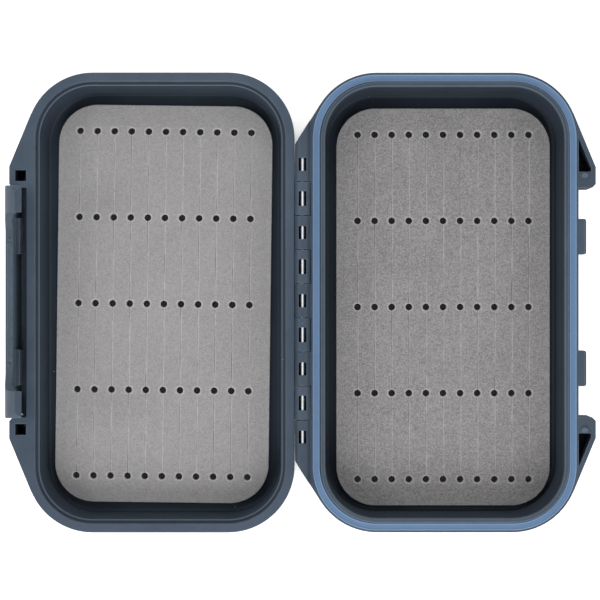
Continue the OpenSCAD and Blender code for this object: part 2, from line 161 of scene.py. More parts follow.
def makeTable():
    mesh = bpy.data.meshes.new("table")
    half = studio["paperHalf"]
    corners = [(-half, -half, 0), (half, -half, 0), (half, half, 0), (-half, half, 0)]
    mesh.from_pydata(corners, [], [(0, 1, 2, 3)])
    mesh.transform(Matrix.Translation((0, 0, -studio["paperDrop"])))
    table = place("table", mesh)
    material, tree = newMaterial("whitePaper")
    openSky = openness(tree, studio["creviceReach"])
    glow = spread(tree, openSky, *studio["crevice"], 0.0, studio["paperGlow"])
    surface(tree, {
        "Base Color": (studio["paper"],) * 3 + (1,), "Roughness": studio["paperRoughness"],
        "Specular IOR Level": 0.0, "Emission Color": white,
        "Emission Strength": product(tree, seenDirectly(tree), glow)})
    mesh.materials.append(material)


def makeSky():
    world = bpy.data.worlds.new("studioSky")
    world.use_nodes = True
    tree = world.node_tree
    tree.nodes.clear()
    strength = spread(tree, seenDirectly(tree), 0, 1, studio["skyStrength"], 1.0)
    sky = put(tree, "ShaderNodeBackground", {"Color": white, "Strength": strength})
    put(tree, "ShaderNodeOutputWorld", {"Surface": sky})
    scene.world = world


makeCamera()
makeLamps()
makeTable()
makeSky()
scene.view_settings.view_transform = "Standard"
print("studio ready")


def tone(red, green, blue):
    # a colour as a picture editor shows it, 0 to 255
    return tuple(((c / 255 + 0.055) / 1.055) ** 2.4 for c in (red, green, blue)) + (1,)


# Noises, cells and marks are given per metre, a bump by its strength and depth, and a band by its
# middle and half width. Heights are from the table, and widths from the hinge's pin to both sides.
shellLook = dict(
    colour=tone(60, 74, 90),
    paleWearAndHighlight=tone(118, 133, 149),       # paler tone: rubbing on edges, and painted highlight along edges and the cavity's bevel
    gloss=0.3,
    flow=30,                        # slow flow marks of the melt
    flowShare=0.16,
    cloud=160,                      # and smaller, darker clouds in it
    cloudLimits=(0.35, 0.75),
    cloudShare=0.14,
    cloudTone=tone(30, 36, 46),
    grain=0.5 * mm,                 # size of the mould's spark texture
    bump=(0.8, 0.012 * mm),
    roughness=(0.40, 0.50),
    marks=(900, 90, 300),           # fine rub marks, which mostly change the gloss
    marksHeight=0.25,
    edge=0.28 * mm,                 # moulded edges are never quite sharp
    edgeBandWidth=1.6,                   # the pale band of rubbing and painted highlight is this much wider than the rounding
    edgeBandLimits=(0.995, 0.86),        # how well the rounded normal still matches the true one
    wearAndHighlight=0.75,
    patches=(420, 4, 0.35),         # per metre, detail, least share
    specks=(260, 0.955, (0.10, 0.04), 0.35),    # per metre, rarity, size in cells, share
    speckTone=tone(190, 194, 198),
    skin=tone(29, 38, 49),          # below the rim the mould's surface is left matt, and painted shade darkens it
    skinTop=22.2 * mm,
    skinFade=0.6 * mm,
    cavityShadeShare=0.55,
    skinRoughness=0.35,
    footLight=tone(104, 112, 122),       # painted light along the foot of the cavity's walls
    footLightReach=8 * mm,
    footLightShare=0.17,
    floorTop=2.1 * mm,              # just above the cavity's floor, which has painted shade
    floorBand=(2.0 * mm, 0.15 * mm),
    floorShade=tone(31, 33, 39),
    floorShadeShare=0.12,
    bevelUp=(0.7, 0.2),             # band of the upward share of a bevel's normal
    innerEdge=21.6 * mm,            # middle of the cavity's bevelled edge, which gets a painted highlight
    innerHalf=0.19 * mm,
    innerBand=(56 * mm, 49 * mm),   # across the cavity
    innerHighlightShare=0.45,
    levelUp=0.9,                    # a level face's normal points further up than this
    stepFloor=21.8 * mm,            # the lid's step for the tongue lies in shade
    stepHalf=0.06 * mm,
    stepTone=tone(34, 41, 52),
    stepShare=0.7,
    holesBand=(56 * mm, 38 * mm),   # across the field of holes
    holesHalf=73 * mm,              # half its length
    glueTone=tone(140, 138, 142),   # adhesive shows at the bottom of the holes
    bossAcross=(110.4 * mm, 1.8 * mm),
    bossAlong=(49.8 * mm, 1.3 * mm),
    bossFoot=22.5 * mm,
    bossHighlight=tone(88, 104, 124),    # painted highlight on the bosses that enter the lid's windows
    bossHighlightShare=0.8,
)
nowhere = -mm                       # a height that no piece has
# painted shade: the base half's plastic is a darker copy of the lid's, for the weaker light on
# that half
shadedBaseShellLook = dict(
    shellLook, colour=tone(54, 67, 82), cavityShadeShare=0.7, innerEdge=23.8 * mm, innerHighlightShare=0.3,
    stepFloor=nowhere)
latchLook = dict(
    shellLook, colour=tone(66, 79, 93), edge=0.34 * mm, roughness=(0.54, 0.64), skinTop=0.0,
    innerEdge=nowhere, stepFloor=nowhere)
sealLook = dict(
    colour=tone(98, 128, 164),
    dark=tone(84, 112, 148),
    pale=tone(118, 147, 178),
    mixShare=0.35,                  # of the dark flow marks and of the pale fine ones
    flow=70,
    fine=1700,
    bump=(0.6, 0.015 * mm),
    lip=tone(132, 162, 194),        # painted highlight along the tops of the lips
    lipTop=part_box("seal")[1].z,
    lipFade=(0.16 * mm, 0.05 * mm),
    lipHighlightShare=0.75,
    lint=(330, 0.93, (0.12, 0.04), 0.5),
    lintTone=tone(205, 212, 220),   # and talc, caught on the rubber
    gloss=0.3,
    sheen=(0.15, 0.5),
    roughness=(0.42, 0.55),
)
foamLook = dict(
    light=tone(168, 166, 166),      # each open cell has a tone of its own between these
    dark=tone(145, 143, 144),
    paleRimAndHighlight=tone(200, 198, 197),     # rims of the cuts, where the skin is broken, and painted highlight along the slits' lips
    cell=0.35 * mm,
    smallCell=0.35 / 2.3 * mm,
    smallShare=0.5,
    bump=(0.7, 0.06 * mm),
    blotch=(520, 0.12),             # per metre, and how far each shifts the tone
    drift=(45, 0.1),
    patches=(700, 3, 0.3),
    gloss=0.15,
    sheen=(0.2, 0.6),
    roughness=0.85,
)
# painted shade: the base pad's foam is a darker copy of the lid's, for the weaker light on that
# half
shadedBaseFoamLook = dict(
    foamLook, light=tone(161, 159, 159), dark=tone(121, 119, 120), paleRimAndHighlight=tone(192, 190, 189))
filmLook = dict(
    colour=tone(58, 59, 63),
    other=tone(60, 61, 64),
    otherShare=0.4,
    ripple=300,
    bump=(0.5, 0.05 * mm),
    roughness=0.45,
)
steelLook = dict(
    colour=tone(236, 236, 237),
    stain=tone(190, 188, 184),
    stains=500,
    stainShare=0.35,
    lines=(6000, 40, 6000),         # drawn along the wire
    bump=(0.5, 0.01 * mm),
    roughness=(0.16, 0.30),
    enclosedShade=tone(34, 36, 40),         # painted shade where the knuckles enclose the wire
    enclosedShadeReach=1.5 * mm,
    enclosedShadeLimits=(0.2, 0.4),
)
dullSteelLook = dict(
    steelLook, colour=tone(108, 110, 114), stain=tone(70, 70, 70), roughness=(0.5, 0.65))

most = (0.3, 0.7)                   # nearly all of a noise's values lie between these,
middling = (0.35, 0.65)             # many between these,
upper = (0.45, 0.75)                # and the higher ones between these


def blendColour(tree, amount, low, high):
    mixed = put(tree, "ShaderNodeMix", {0: amount, 6: low, 7: high}, data_type="RGBA")
    return mixed.outputs[2]


def layered(tree, colour, layers):
    # other colours over the first, each by its own amount
    for amount, other in layers:
        colour = blendColour(tree, amount, colour, other)
    return colour


def onObject(tree, stretch=(1, 1, 1)):
    where = put(tree, "ShaderNodeTexCoord").outputs["Object"]
    return put(tree, "ShaderNodeMapping", {"Vector": where, "Scale": stretch})


def axes(tree, kind):
    # x, y and z of the point or of its normal, in the object's own space
    vector = put(tree, "ShaderNodeTexCoord").outputs[kind]
    return put(tree, "ShaderNodeSeparateXYZ", {"Vector": vector}).outputs


def noiseOn(tree, where, scale, detail=2.0, roughness=0.5):
    return put(tree, "ShaderNodeTexNoise", {
        "Vector": where, "Scale": scale, "Detail": detail, "Roughness": roughness})


def cellsOn(tree, where, scale):
    return put(tree, "ShaderNodeTexVoronoi", {"Vector": where, "Scale": scale}).outputs


def redOf(tree, colour):
    return put(tree, "ShaderNodeSeparateColor", {"Color": colour})


def patchesOn(tree, where, scale, detail, least):
    # 1 in some places, and down to the least in others
    return spread(tree, noiseOn(tree, where, scale, detail, 0.6), *middling, least, 1.0)


def specksOn(tree, where, scale, rarity, size, share):
    # dots in the middle of a few cells
    cells = cellsOn(tree, where, scale)
    few = maths(tree, "GREATER_THAN", redOf(tree, cells["Color"]), rarity)
    return product(tree, spread(tree, cells["Distance"], *size, 0.0, share), few)


def bumpFrom(tree, height, strength, distance):
    return put(tree, "ShaderNodeBump", {
        "Height": height, "Strength": strength, "Distance": distance})


def mouldedPlastic(name, look):
    material, tree = newMaterial(name)
    where = onObject(tree)
    flow = spread(tree, noiseOn(tree, where, look["flow"], 3), *most, 0.0, look["flowShare"])
    cloud = spread(
        tree, noiseOn(tree, where, look["cloud"]), *look["cloudLimits"], 0.0, look["cloudShare"])
    # rounded edges: where the rounded normal leaves the true one, the skin is paler from rubbing
    # and has a painted highlight
    rounded = put(tree, "ShaderNodeBevel", {"Radius": look["edge"]}, samples=6)
    wide = put(tree, "ShaderNodeBevel", {"Radius": look["edge"] * look["edgeBandWidth"]}, samples=6)
    true = put(tree, "ShaderNodeNewGeometry").outputs["True Normal"]
    match = put(tree, "ShaderNodeVectorMath", {0: wide, 1: true}, operation="DOT_PRODUCT")
    edgeWearAndHighlight = spread(tree, match.outputs["Value"], *look["edgeBandLimits"], 0.0, look["wearAndHighlight"])
    # painted shade below the rim and on the cavity's floor, and painted light at the foot of its
    # walls
    x, y, z = axes(tree, "Object")
    below = spread(tree, z, look["skinTop"], look["skinTop"] - look["skinFade"])
    foot = spread(
        tree, z, look["floorTop"] + look["footLightReach"], look["floorTop"], 0.0, look["footLightShare"])
    above = maths(tree, "GREATER_THAN", z, look["floorTop"])
    onFloor = near(tree, z, *look["floorBand"])
    # the bevel round the cavity, which gets a painted highlight, and the step beside it
    across = maths(tree, "ABSOLUTE", x)
    inside = near(tree, across, *look["innerBand"])
    onEdge = near(tree, z, look["innerEdge"], look["innerHalf"])
    onStep = near(tree, z, look["stepFloor"], look["stepHalf"])
    upward = axes(tree, "Normal")["Z"]
    sloped = near(tree, upward, *look["bevelUp"])
    level = maths(tree, "GREATER_THAN", upward, look["levelUp"])
    # the field of holes, and the two bosses
    onField = product(
        tree, near(tree, across, *look["holesBand"]), near(tree, y, 0.0, look["holesHalf"]))
    onBoss = product(
        tree, near(tree, x, *look["bossAcross"]),
        near(tree, maths(tree, "ABSOLUTE", y), *look["bossAlong"]),
        maths(tree, "GREATER_THAN", z, look["bossFoot"]))
    base = layered(tree, look["colour"], [
        (flow, look["paleWearAndHighlight"]),
        (cloud, look["cloudTone"]),
        # pale edges: rubbing, with a painted highlight
        (product(tree, edgeWearAndHighlight, patchesOn(tree, where, *look["patches"])), look["paleWearAndHighlight"]),
        # painted shade in the cavity below the rim
        (product(tree, below, look["cavityShadeShare"]), look["skin"]),
        # painted light at the foot of the cavity's walls
        (product(tree, foot, above, below), look["footLight"]),
        # painted shade on the cavity's floor
        (product(tree, onFloor, look["floorShadeShare"]), look["floorShade"]),
        # painted highlight along the cavity's bevelled edge
        (product(tree, sloped, onEdge, inside, look["innerHighlightShare"]), look["paleWearAndHighlight"]),
        (product(tree, level, onStep, look["stepShare"]), look["stepTone"]),
        (product(tree, onField, onFloor), look["glueTone"]),
        # painted highlight on the bosses
        (product(tree, onBoss, look["bossHighlightShare"]), look["bossHighlight"]),
        (specksOn(tree, where, *look["specks"]), look["speckTone"]),
    ])
    marks = noiseOn(tree, onObject(tree, look["marks"]), 1, 3, 0.7)
    roughness = spread(tree, marks, *most, *look["roughness"])
    matter = product(tree, below, look["skinRoughness"])
    grain = noiseOn(tree, where, 1 / look["grain"], 3, 0.65)
    height = maths(tree, "ADD", grain, product(tree, marks, look["marksHeight"]))
    normal = bumpFrom(tree, height, *look["bump"])
    tree.links.new(rounded.outputs[0], normal.inputs["Normal"])
    surface(tree, {
        "Base Color": base, "Roughness": maths(tree, "ADD", roughness, matter),
        "Normal": normal, "Specular IOR Level": look["gloss"]})
    return material


def softRubber(name, look):
    material, tree = newMaterial(name)
    where = onObject(tree)
    flow = noiseOn(tree, where, look["flow"], 3)
    fine = noiseOn(tree, where, look["fine"], 3, 0.6)
    # painted highlight on the tops of the lips
    low, high = (look["lipTop"] - fade for fade in look["lipFade"])
    sealLipHighlight = spread(tree, axes(tree, "Object")["Z"], low, high, 0.0, look["lipHighlightShare"])
    base = layered(tree, look["colour"], [
        (spread(tree, flow, *most, 0.0, look["mixShare"]), look["dark"]),
        (spread(tree, fine, *upper, 0.0, look["mixShare"]), look["pale"]),
        (sealLipHighlight, look["lip"]),
        (specksOn(tree, where, *look["lint"]), look["lintTone"]),
    ])
    sheen, sheenRoughness = look["sheen"]
    surface(tree, {
        "Base Color": base, "Roughness": spread(tree, fine, *most, *look["roughness"]),
        "Normal": bumpFrom(tree, fine, *look["bump"]),
        "Specular IOR Level": look["gloss"],
        "Sheen Weight": sheen, "Sheen Roughness": sheenRoughness})
    return material


def closedCellFoam(name, look):
    material, tree = newMaterial(name)
    where = onObject(tree)
    cells = cellsOn(tree, where, 1 / look["cell"])
    small = cellsOn(tree, where, 1 / look["smallCell"])
    blotch, blotchShift = look["blotch"]
    drift, driftShift = look["drift"]
    blotches = spread(
        tree, noiseOn(tree, where, blotch, 3, 0.6), *most, -blotchShift, blotchShift)
    drifts = spread(tree, noiseOn(tree, where, drift, 3), *most, -driftShift, driftShift)
    shade = maths(tree, "ADD", redOf(tree, cells["Color"]), blotches)
    # the pad's own attribute marks the rims of its holes, slits and edge, and the painted
    # highlight along the slits
    rim = put(tree, "ShaderNodeAttribute", attribute_name="rimTone").outputs["Fac"]
    base = layered(tree, look["dark"], [
        (maths(tree, "ADD", shade, drifts), look["light"]),
        (product(tree, rim, patchesOn(tree, where, *look["patches"])), look["paleRimAndHighlight"]),
    ])
    smallHeight = product(tree, small["Distance"], look["smallShare"])
    height = maths(tree, "ADD", cells["Distance"], smallHeight)
    sheen, sheenRoughness = look["sheen"]
    surface(tree, {
        "Base Color": base, "Roughness": look["roughness"],
        "Normal": bumpFrom(tree, height, *look["bump"]),
        "Specular IOR Level": look["gloss"],
        "Sheen Weight": sheen, "Sheen Roughness": sheenRoughness})
    return material


def adhesiveFilm(name, look):
    material, tree = newMaterial(name)
    ripple = noiseOn(tree, onObject(tree), look["ripple"], 4, 0.6)
    mix = spread(tree, ripple, *most, 0.0, look["otherShare"])
    surface(tree, {
        "Base Color": blendColour(tree, mix, look["colour"], look["other"]),
        "Roughness": look["roughness"],
        "Normal": bumpFrom(tree, ripple, *look["bump"])})
    return material


def drawnSteel(name, look):
    material, tree = newMaterial(name)
    lines = noiseOn(tree, onObject(tree, look["lines"]), 1, 4, 0.7)
    stains = noiseOn(tree, onObject(tree), look["stains"], 3)
    stained = spread(tree, stains, *upper, 0.0, look["stainShare"])
    base = blendColour(tree, stained, look["colour"], look["stain"])
    # painted shade where the knuckles enclose the wire
    unshaded = spread(tree, openness(tree, look["enclosedShadeReach"]), *look["enclosedShadeLimits"])
    surface(tree, {
        "Base Color": blendColour(tree, unshaded, look["enclosedShade"], base),
        "Roughness": spread(tree, lines, *most, *look["roughness"]),
        "Normal": bumpFrom(tree, lines, *look["bump"]), "Metallic": 1.0})
    return material


shellPlastic = mouldedPlastic("shellPlastic", shellLook)
shadedBaseShellPlastic = mouldedPlastic("shadedBaseShellPlastic", shadedBaseShellLook)
latchPlastic = mouldedPlastic("latchPlastic", latchLook)
sealRubber = softRubber("sealRubber", sealLook)
lidFoam = closedCellFoam("lidFoam", foamLook)
shadedBaseFoam = closedCellFoam("shadedBaseFoam", shadedBaseFoamLook)
darkFilm = adhesiveFilm("darkFilm", filmLook)
pinSteel = drawnSteel("pinSteel", steelLook)
dullSteel = drawnSteel("dullSteel", dullSteelLook)

for nodeName, material in {
    "base_shell": shadedBaseShellPlastic, "lid_shell": shellPlastic, "latch": latchPlastic,
    "base_pad_film": darkFilm, "lid_pad_film": darkFilm,
    "hinge_pin": pinSteel, "latch_pin": dullSteel,
}.items():
    nodes[nodeName].material_slots[0].material = material
print("finishes ready")


def toObject(mesh, name):
    data = bpy.data.meshes.new(name)
    mesh.to_mesh(data)
    mesh.free()
    return place(name, data)


def newGroup(name, inputs):
    # a Geometry Nodes group that takes a geometry and these named inputs
    tree = bpy.data.node_groups.new(name, "GeometryNodeTree")
    for label, kind in [("Geometry", "Geometry"), *inputs]:
        tree.interface.new_socket(label, in_out="INPUT", socket_type="NodeSocket" + kind)
    tree.interface.new_socket("Geometry", in_out="OUTPUT", socket_type="NodeSocketGeometry")
    return tree, put(tree, "NodeGroupInput").outputs


def wavesOn(tree, where, seed, scale, detail):
    return put(tree, "ShaderNodeTexNoise", {
        "Vector": where, "W": seed, "Scale": scale, "Detail": detail}, noise_dimensions="4D")


def giveGroup(host, tree, values):
    # a modifier's inputs go by their socket's identifier
    modifier = host.modifiers.new(tree.name, "NODES")
    modifier.node_group = tree
    for item in tree.interface.items_tree:
        if item.item_type == "SOCKET" and item.in_out == "INPUT" and item.name in values:
            modifier[item.identifier] = values[item.name]


def settle(source, name, closest=0.001 * mm, sharp=math.radians(50)):
    # the evaluated object as a plain mesh of its own, closed and pointing outwards
    depsgraph = bpy.context.evaluated_depsgraph_get()
    data = bpy.data.meshes.new_from_object(source.evaluated_get(depsgraph))
    source.modifiers.clear()
    bpy.data.objects.remove(source)
    work = bmesh.new()
    work.from_mesh(data)
    bmesh.ops.remove_doubles(work, verts=work.verts, dist=closest)
    bmesh.ops.recalc_face_normals(work, faces=work.faces)
    openEdges = sum(1 for edge in work.edges if not edge.is_manifold)
    print(name, len(work.faces), "faces,", openEdges, "open edges")
    work.to_mesh(data)
    work.free()
    data.name = name
    data.polygons.foreach_set("use_smooth", [True] * len(data.polygons))
    data.set_sharp_from_angle(angle=sharp)
    return place(name, data)


padLow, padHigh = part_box("base_pad")
pad = dict(
    width=padHigh.x - padLow.x,
    length=padHigh.y - padLow.y,
    thickness=padHigh.z - padLow.z,
    cornerRadius=15.5 * mm,
    columns=11,
    rows=5,
    holeRadius=1.33 * mm,
    holeRim=0.25 * mm,      # the punch rounds the hole's rim
    wallTone=0.3,           # how pale the skin is at the foot of this rounding,
    holeRimTones=((30, 0.6), (60, 0.9), (90, 0.8)),                 # at its turns in degrees,
    skinTones=((0.12, 0.4), (0.3, 0.0), (0.65, 0.0), (1.0, 0.0)),   # and by shares of the rest
    edgeRim=0.45 * mm,      # the pad's outer edge is rounded too
    edgeTone=0.25,
    edgeRimTones=((25, 0.9), (50, 0.8), (70, 0.4), (90, 0.1)),
    sideMargin=8.5 * mm,    # to the outer columns of holes
    endMargin=10.5 * mm,    # to the outer rows of holes
    lipSteps=(0.15 * mm, 0.32 * mm, 0.6 * mm, 1.1 * mm, 2.0 * mm),  # points beside a slit
    cutSide=0.7 * mm,       # this near to a slit the hole's skin runs straight along it
    stripSteps=32,
    slit=0.04 * mm,         # the cut itself is nearly closed in places
    gape=0.06 * mm,         # and stands open in others
    gapeLimits=(0.41, 0.62),
    gapeWaves=(0.0, 130.0, 2.0),    # waves: added to the seed, per metre, detail
    lipDepth=0.09 * mm,     # its lips sink a little there
    lipWidth=0.55 * mm,
    wander=0.10 * mm,       # the die's cuts aren't quite straight
    wanderWaves=(5.0, 35.0, 1.0),
    swell=0.10 * mm,
    swellMiddle=0.6,
    swellWaves=(9.0, 28.0, 1.0),
    paleFrom=0.1 * mm,      # up to here the painted highlight beside a cut is brightest and more so on one side, where the light falls
    lipHighlightPeak=(0.6, 0.4),      # and more so on one side, since the punch leant
    leastPale=0.15,
    paleLimits=(0.3, 0.55),
    paleWaves=(2.0, 80.0, 2.0),
    weld=0.002 * mm,
    lidTurn=math.radians(-0.7),
)
columnPitch = (pad["width"] - 2 * pad["sideMargin"]) / (pad["columns"] - 1)
rowPitch = (pad["length"] - 2 * pad["endMargin"]) / (pad["rows"] - 1)
cellHalf = columnPitch / 2                      # a hole's cell is square
stripLength = rowPitch - columnPitch            # and a slit's strip lies between two of them
stripSteps = pad["stripSteps"]


def lipSteps(first):
    # distances from a slit across half a column, fine beside the cut
    return [first, *pad["lipSteps"], cellHalf]


def sideSteps():
    return [cellHalf * step / 3 for step in (2, 1, 0, -1, -2)]


def halfCell(slitAbove):
    # right half of a hole's cell: points of its outline, and the hole's angle that each one faces
    above = lipSteps(pad["slit"] / 2 if slitAbove else 0)
    below = lipSteps(pad["slit"] / 2)
    outline = [(x, cellHalf) for x in above] + [(cellHalf, y) for y in sideSteps()]
    outline += [(x, -cellHalf) for x in reversed(below)]
    beside = sum(x < pad["cutSide"] for x in above)
    turns = len(outline) // 2 - beside + 1
    facing = [math.acos(x / pad["holeRadius"]) for x in above[:beside]]
    last = facing[-1]
    facing += [last * (1 - turn / turns) for turn in range(1, turns + 1)]
    facing += [-last * turn / turns for turn in range(1, turns)]
    facing += [-math.acos(x / pad["holeRadius"]) for x in reversed(below[:beside])]
    return outline, facing


def rimPoints(mesh, tones, profile, mirror=1):
    points = []
    for spot, height, tint in profile:
        points.append(mesh.verts.new((mirror * spot.x, spot.y, height)))
        points[-1][tones] = tint
    return points


def addStrip(mesh, one, other, mirror=-1):
    for step in range(len(one) - 1):
        ring = (one[step], one[step + 1], other[step + 1], other[step])
        mesh.faces.new(ring if mirror < 0 else ring[::-1])


def holeCell(name, slitAbove):
    # a ring of skin round one hole: underside, wall, rounded rim and top, cut through at the slit
    top = pad["thickness"]
    rim = pad["holeRim"]
    radius = pad["holeRadius"]
    mesh = bmesh.new()
    tones = mesh.verts.layers.float.new("rimTone")
    for mirror in (1, -1):
        outline, facing = halfCell(slitAbove)
        columns = []
        for (x, y), angle in zip(outline, facing):
            away = Vector((math.cos(angle), math.sin(angle)))
            if abs(y) == cellHalf and x < pad["cutSide"]:
                # beside a slit the skin's edges run straight along the cut
                away = Vector((x, math.copysign(math.sqrt(radius ** 2 - x * x), y))) / radius
            corner = Vector((x, y))
            edge = away * radius
            profile = [(corner, 0, 0), (edge, 0, 0), (edge, top - rim, pad["wallTone"])]
            for turn, tint in pad["holeRimTones"]:
                lean = math.radians(turn)
                spot = edge + (corner - edge).normalized() * rim * (1 - math.cos(lean))
                profile.append((spot, top - rim + rim * math.sin(lean), tint))
            start = profile[-1][0]
            profile += [(start.lerp(corner, share), top, tint) for share, tint in pad["skinTones"]]
            columns.append(rimPoints(mesh, tones, profile, mirror))
        for left, right in zip(columns, columns[1:]):
            addStrip(mesh, left, right, mirror)
        # the cut faces on both sides of the slit
        for column in ([columns[0]] if slitAbove else []) + [columns[-1]]:
            mesh.faces.new(column)
    return toObject(mesh, name)


def stripCell(name):
    # the two lips of a slit between two holes
    top = pad["thickness"]
    mesh = bmesh.new()
    across = lipSteps(pad["slit"] / 2)
    section = [(x, 0) for x in reversed(across)] + [(x, top) for x in across]
    for mirror in (1, -1):
        loops = []
        for step in range(stripSteps + 1):
            y = stripLength * (step / stripSteps - 0.5)
            loops.append([mesh.verts.new((mirror * x, y, z)) for x, z in section])
        for low, high in zip(loops, loops[1:]):
            addStrip(mesh, low, high, mirror)
    return toObject(mesh, name)


def cellsOutline():
    # the points of the cells' common outline, in order round it
    halfWide = columnPitch * (pad["columns"] - 1) / 2
    halfLong = rowPitch * (pad["rows"] - 1) / 2
    crossings = set()
    for column in range(pad["columns"]):
        middle = column * columnPitch - halfWide
        for x in lipSteps(0):
            crossings.update((round(middle + x, 8), round(middle - x, 8)))
    rungs = set()
    for row in range(pad["rows"]):
        middle = row * rowPitch - halfLong
        rungs.update(round(middle + y, 8) for y in [cellHalf, -cellHalf, *sideSteps()])
        if row:
            low = middle - rowPitch + cellHalf
            rungs.update(
                round(low + stripLength * step / stripSteps, 8) for step in range(stripSteps + 1))
    crossings, rungs = sorted(crossings), sorted(rungs)
    half = [(x, rungs[0]) for x in crossings] + [(crossings[-1], y) for y in rungs[1:-1]]
    return half + [(-x, -y) for x, y in half]


def padBorder(name):
    # the pad's margin, from the cells' outline to its rounded corners and round to the underside
    radius = pad["cornerRadius"]
    core = Vector((pad["width"] / 2 - radius, pad["length"] / 2 - radius))
    top = pad["thickness"]
    rim = pad["edgeRim"]
    mesh = bmesh.new()
    tones = mesh.verts.layers.float.new("rimTone")
    loops = []
    for x, y in cellsOutline():
        start = Vector((x, y))
        centre = Vector((max(-core.x, min(core.x, x)), max(-core.y, min(core.y, y))))
        away = (start - centre).normalized()
        outer = centre + away * radius
        flatEnd = outer - away * rim
        profile = [
            (start, top, 0), (start.lerp(flatEnd, 0.5), top, 0), (flatEnd, top, pad["edgeTone"])]
        for turn, tint in pad["edgeRimTones"]:
            lean = math.radians(turn)
            spot = flatEnd + away * rim * math.sin(lean)
            profile.append((spot, top - rim * (1 - math.cos(lean)), tint))
        profile += [(outer, top / 2, 0), (outer, 0, 0), (start, 0, 0)]
        loops.append(rimPoints(mesh, tones, profile))
    for one, other in zip(loops, loops[1:] + loops[:1]):
        addStrip(mesh, one, other)
    return toObject(mesh, name)


def padTree():
    # lays the cells out in rows and columns, welds them to the border and lets the cuts wander
    tree, given = newGroup("slitPad", [
        ("Hole Cell", "Object"), ("End Cell", "Object"), ("Strip Cell", "Object"),
        ("Columns", "Int"), ("Rows", "Int"), ("Column Pitch", "Float"), ("Row Pitch", "Float"),
        ("Thickness", "Float"), ("Gape", "Float"), ("Lip Depth", "Float"), ("Lip Width", "Float"),
        ("Wander", "Float"), ("Swell", "Float"), ("Seed", "Float"), ("Foam", "Material"),
    ])
    columns, rows = given["Columns"], given["Rows"]

    def less(value, amount):
        return maths(tree, "SUBTRACT", value, amount)

    def waves(added, scale, detail):
        seed = maths(tree, "ADD", given["Seed"], added)
        return wavesOn(tree, spot, seed, scale, detail)

    def layOut(cell, gaps, count, turn=None):
        # copies of a cell on a grid, as many across as there are columns
        grid = put(tree, "GeometryNodeMeshGrid", {
            "Size X": product(tree, less(columns, 1), given["Column Pitch"]),
            "Size Y": product(tree, gaps, given["Row Pitch"]),
            "Vertices X": columns, "Vertices Y": count})
        original = put(tree, "GeometryNodeObjectInfo", {"Object": given[cell]})
        inputs = {"Points": grid.outputs["Mesh"], "Instance": original.outputs["Geometry"]}
        if turn is not None:
            inputs["Rotation"] = turn
        return put(tree, "GeometryNodeInstanceOnPoints", inputs).outputs[0]

    spot = put(tree, "GeometryNodeInputPosition")
    x, y, z = put(tree, "ShaderNodeSeparateXYZ", {"Vector": spot}).outputs
    # the cells at the -Y end are turned round, so that their slit points inwards
    lower = product(tree, maths(tree, "LESS_THAN", y, 0.0), math.pi)
    turned = put(tree, "ShaderNodeCombineXYZ", {"Z": lower})
    joined = put(tree, "GeometryNodeJoinGeometry")
    for shape in (
        given["Geometry"],
        layOut("Hole Cell", less(rows, 3), less(rows, 2)),
        layOut("End Cell", less(rows, 1), 2, turned),
        layOut("Strip Cell", less(rows, 2), less(rows, 1)),
    ):
        tree.links.new(shape, joined.inputs[0])
    real = put(tree, "GeometryNodeRealizeInstances", {"Geometry": joined})
    welded = put(tree, "GeometryNodeMergeByDistance", {"Geometry": real, "Distance": pad["weld"]})

    # lips sink towards the cut: x is taken from the nearest column, and only between the end rows
    half = maths(tree, "DIVIDE", given["Column Pitch"], 2.0)
    offColumn = maths(tree, "WRAP", x, half, product(tree, half, -1.0))
    fromColumn = maths(tree, "ABSOLUTE", offColumn)
    side = maths(tree, "SIGN", offColumn)
    nearness = less(1.0, maths(tree, "DIVIDE", fromColumn, given["Lip Width"]))
    nearness = maths(tree, "POWER", maths(tree, "MAXIMUM", nearness, 0.0), 2.0)
    reach = product(tree, less(rows, 1), given["Row Pitch"], 0.5)
    between = maths(tree, "LESS_THAN", maths(tree, "ABSOLUTE", y), reach)
    heightShare = maths(tree, "DIVIDE", z, given["Thickness"])
    nearTop = maths(tree, "POWER", heightShare, 3.0)
    # how far each slit gapes changes along it
    gape = spread(tree, waves(*pad["gapeWaves"]), *pad["gapeLimits"])
    opened = product(tree, nearness, between, product(tree, gape, nearTop))
    sink = product(tree, opened, given["Lip Depth"])
    part = product(tree, opened, product(tree, side, given["Gape"]))
    # slow drift of the cuts to both sides, and a slight swell of the sheet
    drift = less(waves(*pad["wanderWaves"]), 0.5)
    sideways = product(tree, drift, product(tree, given["Wander"], 2.0), nearness)
    swell = less(waves(*pad["swellWaves"]), pad["swellMiddle"])
    lift = product(tree, swell, given["Swell"], heightShare)
    offset = put(tree, "ShaderNodeCombineXYZ", {
        "X": maths(tree, "ADD", sideways, part), "Z": less(lift, sink)})
    moved = put(tree, "GeometryNodeSetPosition", {"Geometry": welded, "Offset": offset})
    # painted highlight on the lips beside the cuts, brighter on one side
    beside = spread(tree, fromColumn, pad["paleFrom"], given["Lip Width"], 1.0, 0.0)
    middle, lean = pad["lipHighlightPeak"]
    lipHighlightPeak = maths(tree, "ADD", middle, product(tree, side, lean))
    pale = spread(tree, waves(*pad["paleWaves"]), *pad["paleLimits"], pad["leastPale"], lipHighlightPeak)
    slitLipHighlight = product(tree, beside, between, product(tree, pale, nearTop))
    rimTone = put(tree, "GeometryNodeInputNamedAttribute", {"Name": "rimTone"}, data_type="FLOAT")
    marked = put(tree, "GeometryNodeStoreNamedAttribute", {
        "Geometry": moved, "Name": "rimTone",
        "Value": maths(tree, "MAXIMUM", rimTone.outputs["Attribute"], slitLipHighlight)},
        data_type="FLOAT", domain="POINT")
    painted = put(tree, "GeometryNodeSetMaterial", {"Geometry": marked, "Material": given["Foam"]})
    put(tree, "NodeGroupOutput", {"Geometry": painted})
    return tree


